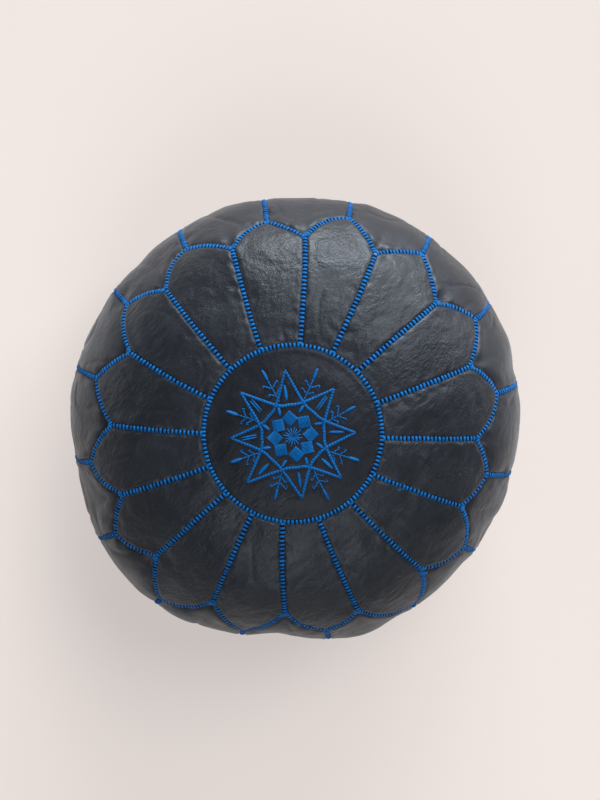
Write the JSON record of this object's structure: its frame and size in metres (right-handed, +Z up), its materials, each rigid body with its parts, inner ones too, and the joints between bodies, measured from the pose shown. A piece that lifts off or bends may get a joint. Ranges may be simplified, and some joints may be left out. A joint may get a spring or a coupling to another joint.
{
  "type": "moroccan leather pouf",
  "caption": "Round charcoal leather pouf with a petal top, blue wrapped seams, a blue star embroidered on the centre disc and a zip in the base.",
  "frame": {"origin": "centre of the base, at the height of the floor it stands on", "axes": "+Z up through the embroidered centre disc; +Y towards the first radial seam; the zip in the base runs along X and closes towards +X"},
  "size_m": [0.5112, 0.5112, 0.3214],
  "materials": {
    "leather": "semi-matte, fine creases",
    "hub_leather": "semi-matte, smooth",
    "thread": "silky thread",
    "stuffing": "matte",
    "zip_tape": "woven",
    "zip_metal": "aged, satin"
  },
  "bodies": {
    "pouf": {"centre_disc": "hub_leather", "embroidered_star": "thread", "embroidered_rosette": "thread", "petal_01": "leather", "petal_02": "leather", "petal_03": "leather", "petal_04": "leather", "petal_05": "leather", "petal_06": "leather", "petal_07": "leather", "petal_08": "leather", "petal_09": "leather", "petal_10": "leather", "petal_11": "leather", "petal_12": "leather", "petal_13": "leather", "petal_14": "leather", "petal_15": "leather", "petal_16": "leather", "side_panel_01": "leather", "side_panel_02": "leather", "side_panel_03": "leather", "side_panel_04": "leather", "side_panel_05": "leather", "side_panel_06": "leather", "side_panel_07": "leather", "side_panel_08": "leather", "side_panel_09": "leather", "side_panel_10": "leather", "side_panel_11": "leather", "side_panel_12": "leather", "side_panel_13": "leather", "side_panel_14": "leather", "side_panel_15": "leather", "side_panel_16": "leather", "hub_ring_stitching": "thread", "petal_stitching": "thread", "side_stitching": "thread", "base_disc": "leather", "zip_window_stitching": "thread", "stuffing": "stuffing", "zip_tape_left": "zip_tape", "zip_tape_right": "zip_tape", "zip_teeth_left": "zip_metal", "zip_teeth_right": "zip_metal", "zip_bottom_stop": "zip_metal", "zip_top_stop_left": "zip_metal", "zip_top_stop_right": "zip_metal"},
    "slider": {"zip_slider": "zip_metal"},
    "pull": {"zip_pull": "zip_metal"}
  },
  "joints": [
    {"name": "zip_slide", "type": "slide", "parent": "pouf", "child": "slider", "axis": [-1, 0, 0], "range_m": [0, 0.248]},
    {"name": "pull_swing", "type": "hinge", "parent": "slider", "child": "pull", "pos_m": [0.124, 0, 0.0056], "axis": [0, -1, 0], "range_deg": [0, 180]}
  ]
}
